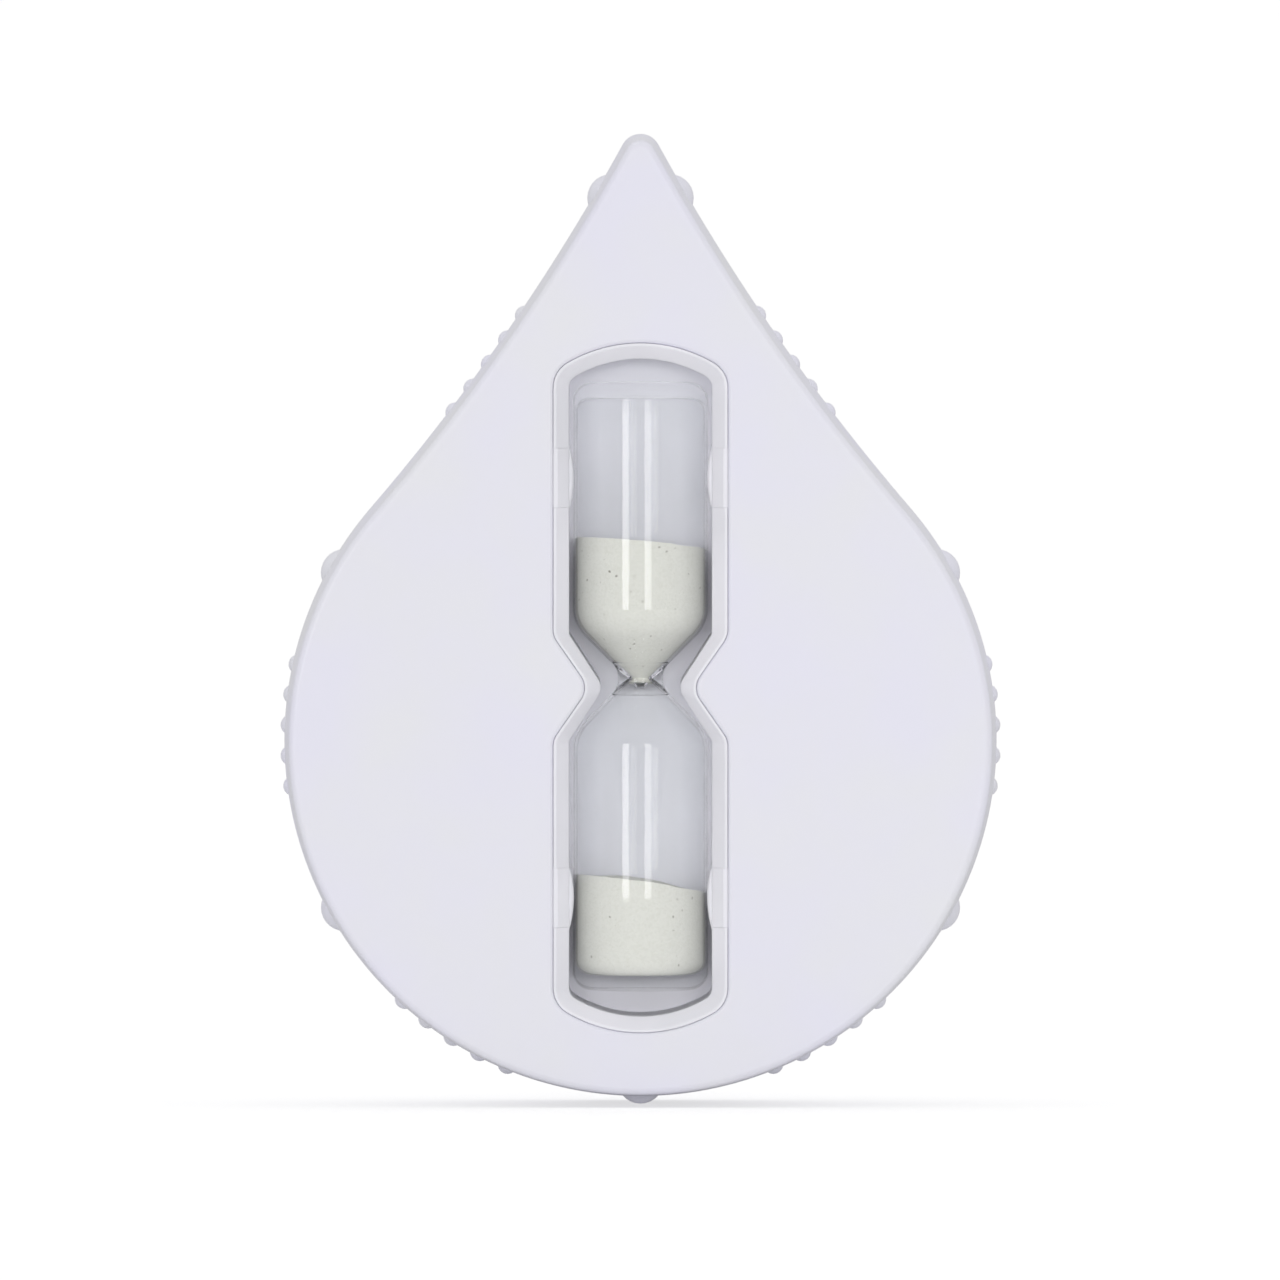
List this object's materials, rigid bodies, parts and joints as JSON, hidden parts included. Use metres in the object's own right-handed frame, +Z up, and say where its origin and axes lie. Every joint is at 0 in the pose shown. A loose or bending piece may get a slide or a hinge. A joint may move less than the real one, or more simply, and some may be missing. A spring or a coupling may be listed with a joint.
{
  "type": "shower timer",
  "caption": "Drop-shaped sand timer: a glass vial in an hourglass-shaped window of a white two-shell case that turns on a suction cup.",
  "frame": {"origin": "on the turning axis, in the plane of the wall that the suction cup's lip lies on", "axes": "+Y into the wall, -Y out of the timer's face, +Z up to the drop's tip, +X to the right seen from the front"},
  "size_m": [0.0848, 0.0356, 0.1144],
  "materials": {
    "white_abs": "satin moulded ABS, cool white",
    "soda_lime_glass": "clear, fire-polished",
    "white_sand": "fine white grains",
    "stainless_steel": "plain stainless",
    "clear_vinyl": "soft clear PVC",
    "grey_silicone": "matt"
  },
  "bodies": {
    "wall_mount": {"suction_cup": "clear_vinyl", "pivot_stud": "stainless_steel", "friction_washer": "grey_silicone", "plain_washer": "stainless_steel", "pivot_nut": "stainless_steel"},
    "timer": {"front_shell": "white_abs", "rear_shell": "white_abs", "vial_holder": "white_abs", "glass_vial": "soda_lime_glass", "upper_sand": "white_sand", "lower_sand": "white_sand", "case_screw_tip": "stainless_steel", "case_screw_left": "stainless_steel", "case_screw_right": "stainless_steel"}
  },
  "joints": [
    {"name": "timer_turn", "type": "hinge", "parent": "wall_mount", "child": "timer", "pos_m": [0, 0, 0], "axis": [0, 1, 0], "continuous": true}
  ]
}
